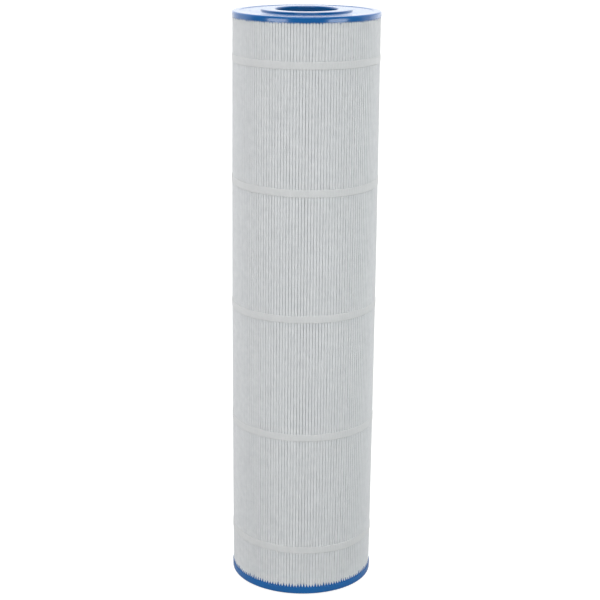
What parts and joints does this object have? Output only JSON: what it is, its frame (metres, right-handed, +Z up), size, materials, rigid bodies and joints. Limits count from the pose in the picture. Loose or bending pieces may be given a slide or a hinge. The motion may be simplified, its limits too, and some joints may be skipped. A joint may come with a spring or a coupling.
{
  "type": "filter cartridge",
  "caption": "Tall pleated cylinder for filtering pool water, with cast urethane end caps, a bore through both ends, a windowed core and fabric straps round the pleats.",
  "frame": {"origin": "centre of the bottom end cap's sealing collar, on the plane it stands on", "axes": "+Z up along the cartridge's axis; +Y towards the side seam and the straps' laps, so -Y is the plain front; +X to the right when seen from the front"},
  "size_m": [0.182, 0.182, 0.737],
  "materials": {
    "cap_urethane": "cast urethane elastomer, smooth and glossy",
    "pleat_fabric": "spunbonded polyester sheet, matte",
    "strap_fabric": "pressed polyester strip, faint sheen",
    "core_plastic": "moulded polypropylene, satin",
    "seam_adhesive": "hot-melt adhesive, translucent cream"
  },
  "bodies": {
    "root": {"top_end_cap": "cap_urethane", "bottom_end_cap": "cap_urethane", "pleated_media": "pleat_fabric", "side_seam_bead": "seam_adhesive", "strap_1": "strap_fabric", "strap_2": "strap_fabric", "strap_3": "strap_fabric", "strap_4": "strap_fabric", "strap_5": "strap_fabric", "core_section_1": "core_plastic", "core_section_2": "core_plastic", "core_section_3": "core_plastic", "core_section_4": "core_plastic", "core_section_5": "core_plastic"}
  },
  "joints": []
}
